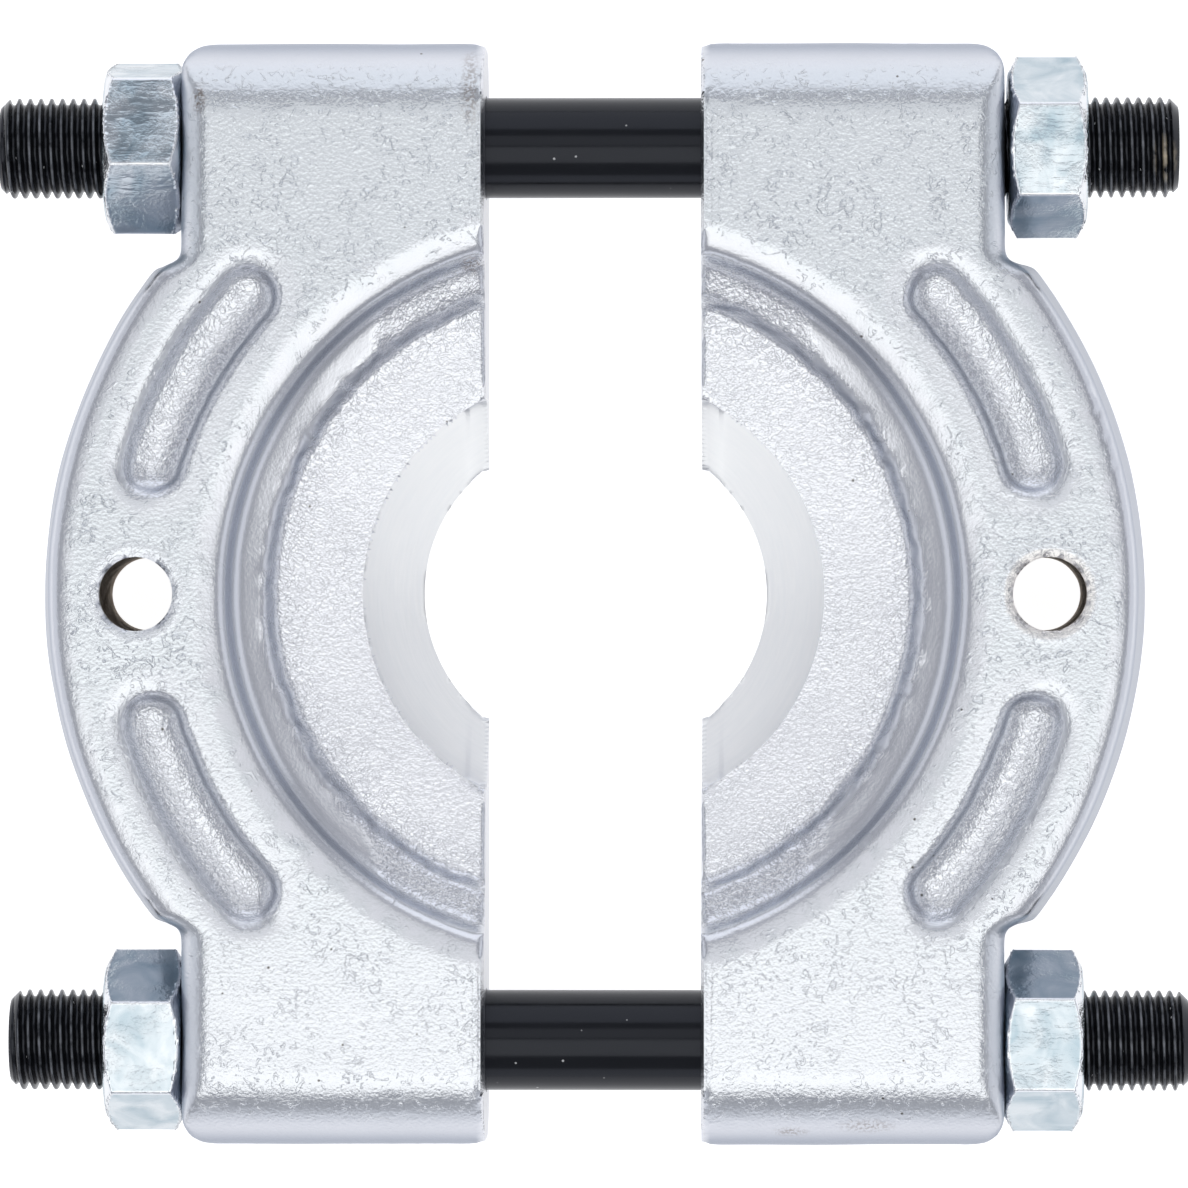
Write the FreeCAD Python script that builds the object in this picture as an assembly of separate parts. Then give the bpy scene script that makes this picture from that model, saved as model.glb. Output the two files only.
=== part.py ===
import FreeCAD, Part
import math
import os

from FreeCAD import Vector

# A bearing separator: two identical forged half rings with knife edges, drawn together behind a
# bearing by two threaded studs and four hex nuts. Sizes are in millimetres. X runs along the
# studs, Y from one stud to the other, Z up from the flat back that it rests on.

# How the pieces stand at rest
jaw_gap = 30.0
upper_stud_shift = -0.7
lower_stud_shift = 0.7
upper_right_nut_gap = 0.6
upper_left_nut_turn = -17.2
upper_right_nut_turn = 4.3
lower_left_nut_turn = 3.0
lower_right_nut_turn = 0.0

# Studs, and the lug bar that they pass through
stud_diameter = 14.0
stud_length = 164.0
stud_end_chamfer = 1.3
stud_spacing = 124.4
lug_hole_clearance = 0.3
lug_width = 42.0
lug_end_past_stud = 14.4
lug_end_rounding = 10.5
nut_side_rounding = 4.2
parting_side_rounding = 1.75
jaw_thickness = 26.0

# Nuts, their chamfers' flats, and the notch beside them that a spanner needs
nut_across_flats = 22.0
nut_face_diameter = 20.6
nut_height = 11.0
nut_bore_clearance = 0.05
nut_chamfer_angle = 30.0
nut_facets = 36
spanner_room = 3.7
notch_rounding = 1.4
notch_flats = 3

# Outer arc of the half, about a centre that lies in front of its parting face
arc_centre_offset = 13.0
arc_radius = 74.9
arc_draft_angle = 9.0
back_draft_angle = 5.0
parting_line_height = 11.0
back_rounding = 1.5
rim_rounding = 2.0
rim_crown_width = 2.6
rim_crown_drop = 0.5

# Recess, from the knife edge outwards, as widths of its rings
knife_radius = 22.1
cone_width = 8.1
plate_width = 11.8
step_width = 1.6
ledge_width = 4.2
shoulder_width = 1.5
shoulder_crown_width = 3.4

# Recess heights: the cone from the back up, the rings down from the face
knife_land = 1.2
cone_rise = 9.65
plate_depth = 8.4
plate_rise = 0.7
ledge_depth = 5.2
ledge_rise = 1.1
shoulder_crown_drop = 0.5
shoulder_rounding = 1.0
knife_corner_rounding = 2.4

# Kidney pockets and the tapped puller hole, on one line inside the rim
band_inside_rim = 13.8
pocket_first_angle = 17.0
pocket_last_angle = 42.0
pocket_width = 11.0
pocket_floor_width = 5.2
pocket_depth = 3.0
pocket_lip_width = 1.2
pocket_lip_drop = 0.4
pocket_rounding = 1.0
puller_hole_radius = 5.1
puller_hole_countersink = 1.1

# A cutter reaches this far past the surface that it cuts
past = 1.0

# Values that follow from the ones above
half_gap = jaw_gap / 2
stud_radius = stud_diameter / 2
stud_half_spacing = stud_spacing / 2
mid_height = jaw_thickness / 2
lug_half_length = stud_half_spacing + lug_end_past_stud
hexagon_corners = 6
nut_corner_radius = nut_across_flats / 2 / math.cos(math.pi / hexagon_corners)
notch_half_height = stud_half_spacing - nut_corner_radius - spanner_room
band_radius = arc_radius - band_inside_rim

arc_centre = Vector(-arc_centre_offset, 0, 0)
along = Vector(1, 0, 0)
across = Vector(0, 1, 0)
up = Vector(0, 0, 1)
whole_turn = 360.0
quarter_turn = 90.0


def softened_section(corners):
    """Face in the XZ plane. Each corner is x, z and its rounding, which is drawn as one flat."""
    points = []
    for index, (x, z, rounding) in enumerate(corners):
        here = Vector(x, 0, z)
        if rounding == 0:
            points.append(here)
            continue
        last_x, last_z, _ = corners[index - 1]
        next_x, next_z, _ = corners[(index + 1) % len(corners)]
        back = (Vector(last_x, 0, last_z) - here).normalize()
        ahead = (Vector(next_x, 0, next_z) - here).normalize()
        reach = rounding / math.tan(back.getAngle(ahead) / 2)
        points.append(here + back * reach)
        points.append(here + ahead * reach)
    return Part.Face(Part.makePolygon(points + points[:1]))


def turned(section, axis_point, start=0.0, sweep=whole_turn):
    """Solid turned about an upright axis from a section drawn at distances from that axis."""
    section.translate(axis_point)
    section.rotate(axis_point, up, start)
    return section.revolve(axis_point, up, sweep)


def rounded_rectangle(sides, roundings, place):
    """Face with true arcs at its corners. It starts at the origin of the plane that place makes of XY."""
    length, height = sides
    corners = [(0, 0), (length, 0), (length, height), (0, height)]
    inward = [(1, 1), (-1, 1), (-1, -1), (1, -1)]
    edges = []
    last = None
    for (x, y), (to_x, to_y), radius in zip(corners, inward, roundings):
        centre = Vector(x + to_x * radius, y + to_y * radius, 0)
        beside = centre - along * to_x * radius
        level = centre - across * to_y * radius
        slant = centre - (along * to_x + across * to_y) * (radius * math.sqrt(0.5))
        start, end = (beside, level) if to_x == to_y else (level, beside)
        if last:
            edges.append(Part.LineSegment(last, start).toShape())
        edges.append(Part.Arc(start, slant, end).toShape())
        last = end
    edges.append(Part.LineSegment(last, edges[0].firstVertex().Point).toShape())
    face = Part.Face(Part.Wire(edges))
    face.Placement = place
    return face


def lug_bar():
    """The straight bar that the studs pass through: its end view, plan and side view, crossed."""
    length = 2 * lug_half_length
    corner = Vector(0, -lug_half_length, 0)
    stand_on_end = FreeCAD.Placement(corner, FreeCAD.Rotation(across, up, along, "XYZ"))
    stand_on_edge = FreeCAD.Placement(corner, FreeCAD.Rotation(along, up, -across, "XYZ"))
    lie_flat = FreeCAD.Placement(corner, FreeCAD.Rotation())
    side_roundings = (parting_side_rounding, nut_side_rounding, nut_side_rounding, parting_side_rounding)
    end_view = rounded_rectangle((length, jaw_thickness), [lug_end_rounding] * 4, stand_on_end)
    side_view = rounded_rectangle((lug_width, jaw_thickness), side_roundings, stand_on_edge)
    plan = rounded_rectangle((lug_width, length), side_roundings, lie_flat)
    bar = end_view.extrude(along * lug_width)
    bar = bar.common(side_view.extrude(across * length))
    return bar.common(plan.extrude(up * jaw_thickness))


def notch_flare(side):
    """Corner between lug and arc, rounded by a few flats that follow the lug's rounding over and under."""
    inside = side * (notch_half_height - past)
    foot = nut_side_rounding
    head = jaw_thickness - nut_side_rounding
    centre = Vector(lug_width + notch_rounding, side * (notch_half_height + notch_rounding), foot)
    points = [Vector(lug_width - past, inside, foot), Vector(centre.x, inside, foot)]
    for step in range(notch_flats + 1):
        angle = math.radians(quarter_turn * step / notch_flats)
        points.append(centre - Vector(math.sin(angle), side * math.cos(angle), 0) * notch_rounding)
    points.append(Vector(lug_width - past, centre.y, foot))
    section = Part.Face(Part.makePolygon(points + points[:1]))
    axis_x = lug_width - nut_side_rounding
    under = section.revolve(Vector(axis_x, 0, foot), across, quarter_turn)
    upright = section.extrude(up * (head - foot))
    section.translate(up * (head - foot))
    over = section.revolve(Vector(axis_x, 0, head), -across, quarter_turn)
    return [under, upright, over]


def drafted_disc():
    """Outer arc of the half: wall drafted both ways from the parting line, crowned rim on top."""
    wall_top = jaw_thickness - rim_crown_drop
    arc_lean = math.tan(math.radians(arc_draft_angle))
    back_lean = math.tan(math.radians(back_draft_angle))
    rim_radius = arc_radius - (wall_top - parting_line_height) * arc_lean
    back_radius = arc_radius - parting_line_height * back_lean
    section = softened_section([
        (0, 0, 0),
        (back_radius, 0, back_rounding),
        (arc_radius, parting_line_height, 0),
        (rim_radius, wall_top, rim_rounding),
        (rim_radius - rim_crown_width, jaw_thickness, 0),
        (0, jaw_thickness, 0),
    ])
    return turned(section, arc_centre)


def arc_body():
    """The disc trimmed to the part that stands out between the two notches."""
    block = Part.makeBox(arc_radius, 2 * notch_half_height, jaw_thickness, Vector(0, -notch_half_height, 0))
    trim = block.fuse(notch_flare(1) + notch_flare(-1))
    return drafted_disc().common(trim)


def recess():
    """Everything turned about the arc's centre: bore, knife cone, plate, step, ledge and shoulder."""
    cone_end = knife_radius + cone_width
    plate_end = cone_end + plate_width
    ledge_start = plate_end + step_width
    ledge_end = ledge_start + ledge_width
    shoulder = ledge_end + shoulder_width
    crown_end = shoulder + shoulder_crown_width
    plate_height = jaw_thickness - plate_depth
    ledge_height = jaw_thickness - ledge_depth
    section = softened_section([
        (0, -past, 0),
        (knife_radius, -past, 0),
        (knife_radius, knife_land, 0),
        (cone_end, knife_land + cone_rise, 0),
        (cone_end, plate_height, 0),
        (plate_end, plate_height + plate_rise, 0),
        (ledge_start, ledge_height, 0),
        (ledge_end, ledge_height + ledge_rise, 0),
        (shoulder, jaw_thickness - shoulder_crown_drop, shoulder_rounding),
        (crown_end, jaw_thickness, 0),
        (crown_end, jaw_thickness + past, 0),
        (0, jaw_thickness + past, 0),
    ])
    return turned(section, arc_centre, whole_turn / 2)


def knife_corner(side):
    """Cutter that rounds the corner where the knife edge meets the parting face."""
    reach = knife_radius + knife_corner_rounding
    centre_x = knife_corner_rounding
    centre_y = math.sqrt(reach ** 2 - (arc_centre_offset + centre_x) ** 2)
    tangent_x = (arc_centre_offset + centre_x) * knife_radius / reach - arc_centre_offset
    height = jaw_thickness + 2 * past
    block = Part.makeBox(tangent_x + past, centre_y, height, Vector(-past, 0, -past))
    post = Part.makeCylinder(knife_corner_rounding, height, Vector(centre_x, centre_y, -past))
    cutter = block.cut(post)
    if side < 0:
        cutter = cutter.mirror(Vector(0, 0, 0), across)
    return cutter


def pocket(side):
    """Kidney pocket: a trough with a lip, sloping walls and a flat floor, run along an arc."""
    floor = jaw_thickness - pocket_depth
    mouth = pocket_width / 2
    foot = pocket_floor_width / 2
    flank = [
        (mouth, jaw_thickness + past, 0),
        (mouth, jaw_thickness, 0),
        (mouth - pocket_lip_width, jaw_thickness - pocket_lip_drop, 0),
        (foot, floor, pocket_rounding),
    ]
    other_flank = [(-x, z, rounding) for x, z, rounding in reversed(flank)]
    trough = softened_section([(band_radius + x, z, rounding) for x, z, rounding in flank + other_flank])
    sweep = pocket_last_angle - pocket_first_angle
    first = pocket_first_angle if side > 0 else -pocket_last_angle
    shape = turned(trough, arc_centre, first, sweep)
    for angle in (first, first + sweep):
        end = arc_centre + FreeCAD.Rotation(up, angle).multVec(along * band_radius)
        half = softened_section([(0, jaw_thickness + past, 0)] + flank + [(0, floor, 0)])
        shape = shape.fuse(turned(half, end))
    return shape


def puller_hole():
    """Tapped through hole at the core diameter of its thread, countersunk on the face."""
    wide = puller_hole_radius + puller_hole_countersink
    section = softened_section([
        (0, -past, 0),
        (puller_hole_radius, -past, 0),
        (puller_hole_radius, jaw_thickness - puller_hole_countersink, 0),
        (wide + past, jaw_thickness + past, 0),
        (0, jaw_thickness + past, 0),
    ])
    return turned(section, arc_centre + along * band_radius)


def lug_hole(side):
    """Plain hole that a stud slides through."""
    mouth = Vector(-past, side * stud_half_spacing, mid_height)
    return Part.makeCylinder(stud_radius + lug_hole_clearance, lug_width + 2 * past, mouth, along)


def jaw(outward):
    """One forged half in its place; outward is +1 for the right one and -1 for the left one."""
    shape = lug_bar().fuse(arc_body()).removeSplitter()
    cutters = [recess(), puller_hole()]
    for side in (1, -1):
        cutters += [lug_hole(side), pocket(side), knife_corner(side)]
    for cutter in cutters:
        shape = shape.cut(cutter)
    shape = shape.Solids[0]
    shape.translate(along * half_gap)
    if outward < 0:
        shape.rotate(Vector(0, 0, 0), up, whole_turn / 2)
    return shape


def turned_along(outline):
    """Solid turned about the X axis from points given as x and radius."""
    points = [Vector(x, radius, 0) for x, radius in outline]
    return Part.Face(Part.makePolygon(points + points[:1])).revolve(Vector(0, 0, 0), along, whole_turn)


def stud(shift, side):
    """Threaded stud at the crest diameter of its thread; side is +1 for the upper one, -1 for the lower."""
    half = stud_length / 2
    shape = turned_along([
        (-half, 0),
        (-half, stud_radius - stud_end_chamfer),
        (-half + stud_end_chamfer, stud_radius),
        (half - stud_end_chamfer, stud_radius),
        (half, stud_radius - stud_end_chamfer),
        (half, 0),
    ])
    shape.translate(Vector(shift, side * stud_half_spacing, mid_height))
    return shape


def flat_sided(rings, sides):
    """Solid about the X axis through rings given as x and radius, each ring drawn with that many sides."""
    turns = [FreeCAD.Rotation(along, whole_turn * step / sides) for step in range(sides)]
    outlines = [[turn.multVec(Vector(x, radius, 0)) for turn in turns] for x, radius in rings]
    faces = [Part.Face(Part.makePolygon(end + end[:1])) for end in (outlines[0], outlines[-1])]
    for here, ahead in zip(outlines, outlines[1:]):
        for index in range(sides):
            corners = [here[index - 1], here[index], ahead[index], ahead[index - 1]]
            faces.append(Part.Face(Part.makePolygon(corners + corners[:1])))
    return Part.Solid(Part.Shell(faces))


def nut(outward, side, turn, gap=0.0):
    """Hex nut chamfered on both faces, seated on its lug or standing off it by the gap."""
    face_radius = nut_face_diameter / 2
    hexagon = flat_sided([(0, nut_corner_radius), (nut_height, nut_corner_radius)], hexagon_corners)
    waist_radius = face_radius + nut_height / 2 / math.tan(math.radians(nut_chamfer_angle))
    rings = [(0, face_radius), (nut_height / 2, waist_radius), (nut_height, face_radius)]
    envelope = flat_sided(rings, nut_facets)
    bore = Part.makeCylinder(stud_radius + nut_bore_clearance, nut_height, Vector(0, 0, 0), along)
    shape = hexagon.common(envelope).cut(bore).Solids[0]
    shape.rotate(Vector(0, 0, 0), along, turn)
    seat = half_gap + lug_width + gap
    near_face = seat if outward > 0 else -seat - nut_height
    shape.translate(Vector(near_face, side * stud_half_spacing, mid_height))
    return shape


pieces = {
    "left_jaw": jaw(-1),
    "right_jaw": jaw(1),
    "upper_stud": stud(upper_stud_shift, 1),
    "lower_stud": stud(lower_stud_shift, -1),
    "upper_left_nut": nut(-1, 1, upper_left_nut_turn),
    "upper_right_nut": nut(1, 1, upper_right_nut_turn, upper_right_nut_gap),
    "lower_left_nut": nut(-1, -1, lower_left_nut_turn),
    "lower_right_nut": nut(1, -1, lower_right_nut_turn),
}

os.makedirs("parts", exist_ok=True)
for name, shape in pieces.items():
    shape.exportStep("parts/" + name + ".step")
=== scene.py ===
import bpy
import math
import numpy as np
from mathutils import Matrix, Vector, noise


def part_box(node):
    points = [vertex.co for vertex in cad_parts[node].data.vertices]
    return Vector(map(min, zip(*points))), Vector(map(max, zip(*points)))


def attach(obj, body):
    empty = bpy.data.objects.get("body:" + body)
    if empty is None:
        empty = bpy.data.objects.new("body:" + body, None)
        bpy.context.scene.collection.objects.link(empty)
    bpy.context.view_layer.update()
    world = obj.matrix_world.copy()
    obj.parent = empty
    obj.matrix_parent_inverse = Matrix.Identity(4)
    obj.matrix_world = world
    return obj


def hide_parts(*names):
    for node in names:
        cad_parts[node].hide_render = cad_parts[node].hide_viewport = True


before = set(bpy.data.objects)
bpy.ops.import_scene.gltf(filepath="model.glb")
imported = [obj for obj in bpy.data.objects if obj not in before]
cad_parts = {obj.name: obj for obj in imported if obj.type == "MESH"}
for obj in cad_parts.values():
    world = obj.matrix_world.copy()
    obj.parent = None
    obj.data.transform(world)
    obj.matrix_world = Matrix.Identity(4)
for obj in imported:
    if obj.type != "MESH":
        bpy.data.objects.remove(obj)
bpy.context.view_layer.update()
scene = bpy.context.scene

# The studio, in metres. A bearing separator lies face up on a white table. A large soft box hangs over
# the lower stud's side and a weaker one beyond the upper stud. Panels stand on all four sides, with
# dimmer gaps between them, and are what the forged and turned surfaces mirror.

FIELD_WIDTH = 0.1657
CAMERA_HEIGHT = 1.14
CAMERA_ASIDE = 0.023
CAMERA_CLIP = (0.05, 20)
SENSOR_WIDTH = 36.0
STUD_HEIGHT = 0.013
LAMP_REACH = 1.5
PANEL_COLOUR = "#F3F6FD"
ROOM_COLOUR = "#E0E3EE"
ROOM_STRENGTH = 0.42


def linear(hex_colour):
    """An sRGB hex colour as the linear values that a shader takes."""
    channels = [int(hex_colour[i:i + 2], 16) / 255 for i in (1, 3, 5)]
    straight = [c / 12.92 if c <= 0.04045 else ((c + 0.055) / 1.055) ** 2.4 for c in channels]
    return (*straight, 1.0)


def add_node(tree, kind, settings=(), links=()):
    """Adds a shader node, sets its properties and sockets, and joins its inputs to other outputs."""
    made = tree.nodes.new(kind)
    for name, value in dict(settings).items():
        if isinstance(name, str) and name in made.bl_rna.properties:
            setattr(made, name, value)
        else:
            made.inputs[name].default_value = value
    for name, source in dict(links).items():
        tree.links.new(source, made.inputs[name])
    return made


def soft_box(name, place, facing, size, radiance, colour="#FFFFFF"):
    """A rectangular lamp that faces along a direction. Radiance 1 shows as white in a mirror."""
    lamp = bpy.data.lights.new(name, "AREA")
    lamp.shape = "RECTANGLE"
    lamp.size, lamp.size_y = size
    lamp.energy = radiance * math.pi * size[0] * size[1]
    lamp.color = linear(colour)[:3]
    holder = bpy.data.objects.new(name, lamp)
    scene.collection.objects.link(holder)
    holder.location = place
    holder.rotation_euler = Vector(facing).to_track_quat("-Z", "Y").to_euler()


camera = bpy.data.objects.new("camera", bpy.data.cameras.new("camera"))
scene.collection.objects.link(camera)
camera.location = (CAMERA_ASIDE, 0, STUD_HEIGHT + CAMERA_HEIGHT)
camera.rotation_euler = (0, math.atan2(CAMERA_ASIDE, CAMERA_HEIGHT), 0)
camera.data.sensor_width = SENSOR_WIDTH
camera.data.lens = SENSOR_WIDTH * math.hypot(CAMERA_ASIDE, CAMERA_HEIGHT) / FIELD_WIDTH
camera.data.clip_start, camera.data.clip_end = CAMERA_CLIP
scene.camera = camera
scene.view_settings.view_transform = "Standard"

soft_box("overhead_box", (0, -0.51, LAMP_REACH), (0, 0, -1), (1.60, 1.10), 1.03, "#FFFFFC")
soft_box("second_box", (0, 0.45, LAMP_REACH), (0, 0, -1), (1.60, 0.63), 0.57)
soft_box("far_panel", (0, LAMP_REACH, 0.85), (0, -1, 0), (2.2, 1.6), 0.80, PANEL_COLOUR)
soft_box("near_panel", (0, -LAMP_REACH, 0.32), (0, 1, 0), (2.2, 0.60), 0.62, PANEL_COLOUR)
soft_box("left_panel", (-LAMP_REACH, 0, 0.65), (1, 0, 0), (2.0, 1.3), 0.47, PANEL_COLOUR)
soft_box("right_panel", (LAMP_REACH, 0, 0.65), (-1, 0, 0), (2.0, 1.3), 0.49, PANEL_COLOUR)

world = bpy.data.worlds.new("room")
scene.world = world
world.use_nodes = True
room = world.node_tree.nodes["Background"]
room.inputs["Color"].default_value = linear(ROOM_COLOUR)
room.inputs["Strength"].default_value = ROOM_STRENGTH

FLOOR_SIZE = 6.0
FLOOR_DROP = 0.0002
FLOOR_WHITENING = 0.95
FLOOR_IN_METAL = 0.62

# White laminate: a matt table top that the camera sees as plain white and metal mirrors as pale grey
bpy.ops.object.select_all(action="DESELECT")
bpy.ops.mesh.primitive_plane_add(size=FLOOR_SIZE, location=(0, 0, -FLOOR_DROP))
floor = bpy.context.object
floor.name = "white_table"
table_top = bpy.data.materials.new("white_laminate")
table_top.use_nodes = True
tree = table_top.node_tree
tree.nodes.clear()
matt = add_node(tree, "ShaderNodeBsdfDiffuse", {"Color": linear("#D2D2D4")})
rays = add_node(tree, "ShaderNodeLightPath")
mirrored = add_node(tree, "ShaderNodeMath", {"operation": "MULTIPLY", 1: FLOOR_IN_METAL},
                    {0: rays.outputs["Is Glossy Ray"]})
lift = add_node(tree, "ShaderNodeMath", {"operation": "MULTIPLY_ADD", 1: FLOOR_WHITENING},
                {0: rays.outputs["Is Camera Ray"], 2: mirrored.outputs[0]})
glow = add_node(tree, "ShaderNodeEmission", {"Color": linear("#FFFFFF")}, {"Strength": lift.outputs[0]})
both = add_node(tree, "ShaderNodeAddShader", (), {0: matt.outputs[0], 1: glow.outputs[0]})
add_node(tree, "ShaderNodeOutputMaterial", (), {"Surface": both.outputs[0]})
floor.data.materials.append(table_top)

# The two forged halves. Each is a steel drop forging, blasted and plated with a satin silver coat.
# Its face keeps the skin of the die, from smooth rims to pebbled hollows, and the knife cone and the
# parting face are machined.

MM = 0.001
MERGE_DISTANCE = 1e-6
VOXEL = 0.59 * MM
SKIN_SMOOTHING = 5

# Places on a half in millimetres: radii about its arc's centre, heights above its flat back, and the
# parting face and the notch's wall from the tool's middle
ARC_CENTRE_X = 2.0
CONE_END = 30.2
CONE_TOP = 10.85
PLATE_END = 42.0
GROOVE_RADIUS = 48.4
SHOULDER_END = 52.7
BAND_RADIUS = 61.1
RIM_START = 69.3
POCKET_ANGLES = (17.0, 42.0)
PARTING_FACE = 15.0
FACE_HEIGHT = 26.0
NOTCH_WALL = 45.8
HOLE_CORE = 5.1
HOLE_ROOT = 6.05
FUNNEL_FOOT = 24.5

# Outlines that the surfaces are trued to, as distance, height and rounding at each corner. The wall
# above the knife cone leans back under the plate's edge, which keeps it out of sight from above.
RECESS_OUTLINE = [
    (22.1, 0.0, 0), (22.1, 1.2, 0), (30.4, 10.85, 0), (30.05, 17.6, 0), (42.1, 18.35, 0.8),
    (43.6, 20.65, 1.0), (47.7, 22.0, 2.0), (49.2, 25.1, 1.6), (52.2, 26.0, 15.0), (56.5, 26.0, 0)]
OUTER_POCKET = [
    (8.0, 26.0, 0), (6.2, 26.0, 5.0), (4.7, 25.5, 1.0), (3.3, 23.85, 1.0), (1.5, 23.4, 4.0), (0.0, 23.25, 0)]
INNER_POCKET = [
    (8.0, 26.0, 0), (4.6, 26.0, 1.2), (3.9, 25.6, 0.6), (3.0, 24.0, 1.0), (1.5, 23.45, 3.0), (0.0, 23.25, 0)]
RIM_OUTLINE = [
    (66.0, 26.0, 0), (70.4, 26.0, 10.0), (73.2, 25.35, 2.0), (74.9, 11.0, 1.0), (73.94, 0.0, 1.5),
    (72.0, 0.0, 0)]
FUNNEL_OUTLINE = [(8.0, 26.0, 0), (6.3, 26.0, 0.3), (5.12, 25.8, 0), (5.12, 24.0, 0)]
CORNER_STEPS = 9
CORNER_PULL = 0.62
TRUING_REACH = 1.1
FULL_PULL = 0.7
SMALLEST_DISTANCE = 1e-6


def own_mesh(node_name, piece_name):
    """A merged copy of a CAD node's mesh in a new object, ready to be worked on."""
    piece = bpy.data.objects.new(piece_name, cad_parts[node_name].data.copy())
    scene.collection.objects.link(piece)
    piece.data.materials.clear()
    bpy.ops.object.select_all(action="DESELECT")
    piece.select_set(True)
    bpy.context.view_layer.objects.active = piece
    bpy.ops.object.mode_set(mode="EDIT")
    bpy.ops.mesh.select_all(action="SELECT")
    bpy.ops.mesh.remove_doubles(threshold=MERGE_DISTANCE)
    bpy.ops.object.mode_set(mode="OBJECT")
    return piece


def reskin(piece, voxel, smoothing):
    """Rebuilds a piece's mesh as an even skin and rounds its edges slightly, as a forging's are."""
    remesh = piece.modifiers.new("skin", "REMESH")
    remesh.mode = "VOXEL"
    remesh.voxel_size = voxel
    soften = piece.modifiers.new("soften", "SMOOTH")
    soften.factor = 0.5
    soften.iterations = smoothing
    for modifier in (remesh, soften):
        bpy.ops.object.modifier_apply(modifier=modifier.name)
    bpy.ops.object.shade_smooth()


def read_points(mesh):
    """The places and normals of a mesh's points, places in millimetres."""
    count = len(mesh.vertices)
    places = np.empty(count * 3)
    normals = np.empty(count * 3, np.float32)
    mesh.vertices.foreach_get("co", places)
    mesh.vertex_normals.foreach_get("vector", normals)
    return places.reshape(-1, 3) / MM, normals.reshape(-1, 3).astype(float)


def write_points(mesh, places):
    """Moves a mesh's points to places given in millimetres."""
    mesh.vertices.foreach_set("co", (places * MM).ravel())
    mesh.update()


def write_share(mesh, name, share):
    """Keeps a share from 0 to 1 for each point under a name that the material reads."""
    kept = mesh.attributes.new(name, "FLOAT", "POINT")
    kept.data.foreach_set("value", np.clip(share, 0, 1).astype(np.float32))


def ease(value, start, end):
    """0 at start, 1 at end, and a smooth change between them, whichever is the greater."""
    share = np.clip((value - start) / (end - start), 0, 1)
    return share * share * (3 - 2 * share)


def lumps(places, layer, seed):
    """One layer of smooth unevenness.

    A layer is its greatest height, the width of its lumps in millimetres and a number of its own."""
    height, width, number = layer
    shifted = places / width + (seed + number)
    return height * np.array([noise.noise(point) for point in shifted.tolist()])


def rounded(corners):
    """Points along an outline given by its corners, with each corner's rounding drawn in short steps."""
    points = []
    for index, (across, height, rounding) in enumerate(corners):
        corner = np.array([across, height])
        if rounding == 0:
            points.append(corner)
            continue
        back = np.array(corners[index - 1][:2]) - corner
        ahead = np.array(corners[index + 1][:2]) - corner
        back /= np.linalg.norm(back)
        ahead /= np.linalg.norm(ahead)
        half_angle = math.acos(np.clip(back @ ahead, -1, 1)) / 2
        middle = (back + ahead) / np.linalg.norm(back + ahead)
        centre = corner + middle * rounding / math.sin(half_angle)
        start = corner + back * rounding / math.tan(half_angle) - centre
        end = corner + ahead * rounding / math.tan(half_angle) - centre
        for step in np.linspace(0, 1, CORNER_STEPS):
            spoke = start * (1 - step) + end * step
            points.append(centre + spoke * rounding / np.linalg.norm(spoke))
    return np.array(points)


def trued(across, height, corners, share, reach=TRUING_REACH):
    """Moves points near an outline onto it, each by its share.

    Reach is how far from the outline the pull ends. Returns the new distances and heights."""
    outline = rounded(corners)
    points = np.column_stack([across, height])
    nearest = points.copy()
    gap = np.full(len(points), np.inf)
    for start, end in zip(outline, outline[1:]):
        run = end - start
        along = np.clip((points - start) @ run / (run @ run), 0, 1)
        foot = start + along[:, None] * run
        away = np.linalg.norm(points - foot, axis=1)
        closer = away < gap
        gap[closer] = away[closer]
        nearest[closer] = foot[closer]
    # A sharp corner draws in the points beside it, so that its edge stays whole
    for corner_across, corner_height, rounding in corners[1:-1]:
        if rounding == 0:
            corner = (corner_across, corner_height)
            nearest[np.linalg.norm(nearest - corner, axis=1) < CORNER_PULL] = corner
    weight = share * ease(gap, reach, FULL_PULL * reach)
    moved = points + (nearest - points) * weight[:, None]
    return moved[:, 0], moved[:, 1]


def true_about(places, centre, corners, share, wander=0.0):
    """Trues the points to an outline turned about upright lines through the centres given in plan.

    Wander is how far the outline stands away from its place at each point."""
    away = places[:, :2] - centre
    distance = np.maximum(np.linalg.norm(away, axis=1), SMALLEST_DISTANCE)
    new_distance, new_height = trued(distance - wander, places[:, 2], corners, share)
    return np.column_stack([centre + away * ((new_distance + wander) / distance)[:, None], new_height])


def soften_some(piece, chosen, times):
    """Evens out the chosen points of a piece, as a die's worn corners are."""
    group = piece.vertex_groups.new(name="soft")
    group.add(np.flatnonzero(chosen).tolist(), 1.0, "REPLACE")
    soften = piece.modifiers.new("soften_some", "SMOOTH")
    soften.iterations = times
    soften.vertex_group = group.name
    bpy.ops.object.modifier_apply(modifier=soften.name)
    piece.vertex_groups.remove(piece.vertex_groups["soft"])


def landmarks(places):
    """Each point's side, and the centres in plan of the arc and of the puller hole on that side."""
    side = np.sign(places[:, 0])
    middle = np.zeros(len(places))
    arc_centre = np.column_stack([side * ARC_CENTRE_X, middle])
    hole_centre = np.column_stack([side * (ARC_CENTRE_X + BAND_RADIUS), middle])
    return side, arc_centre, hole_centre


def pocket_line(places):
    """The nearest place to each point, in plan, on the centre lines of the half's two pockets."""
    side = np.sign(places[:, 0])
    x = np.abs(places[:, 0]) - ARC_CENTRE_X
    angle = np.arctan2(np.abs(places[:, 1]), x)
    first, last = (math.radians(a) for a in POCKET_ANGLES)
    held = np.clip(angle, first, last)
    return np.column_stack([side * (ARC_CENTRE_X + BAND_RADIUS * np.cos(held)),
                            np.sign(places[:, 1]) * BAND_RADIUS * np.sin(held)])


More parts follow.
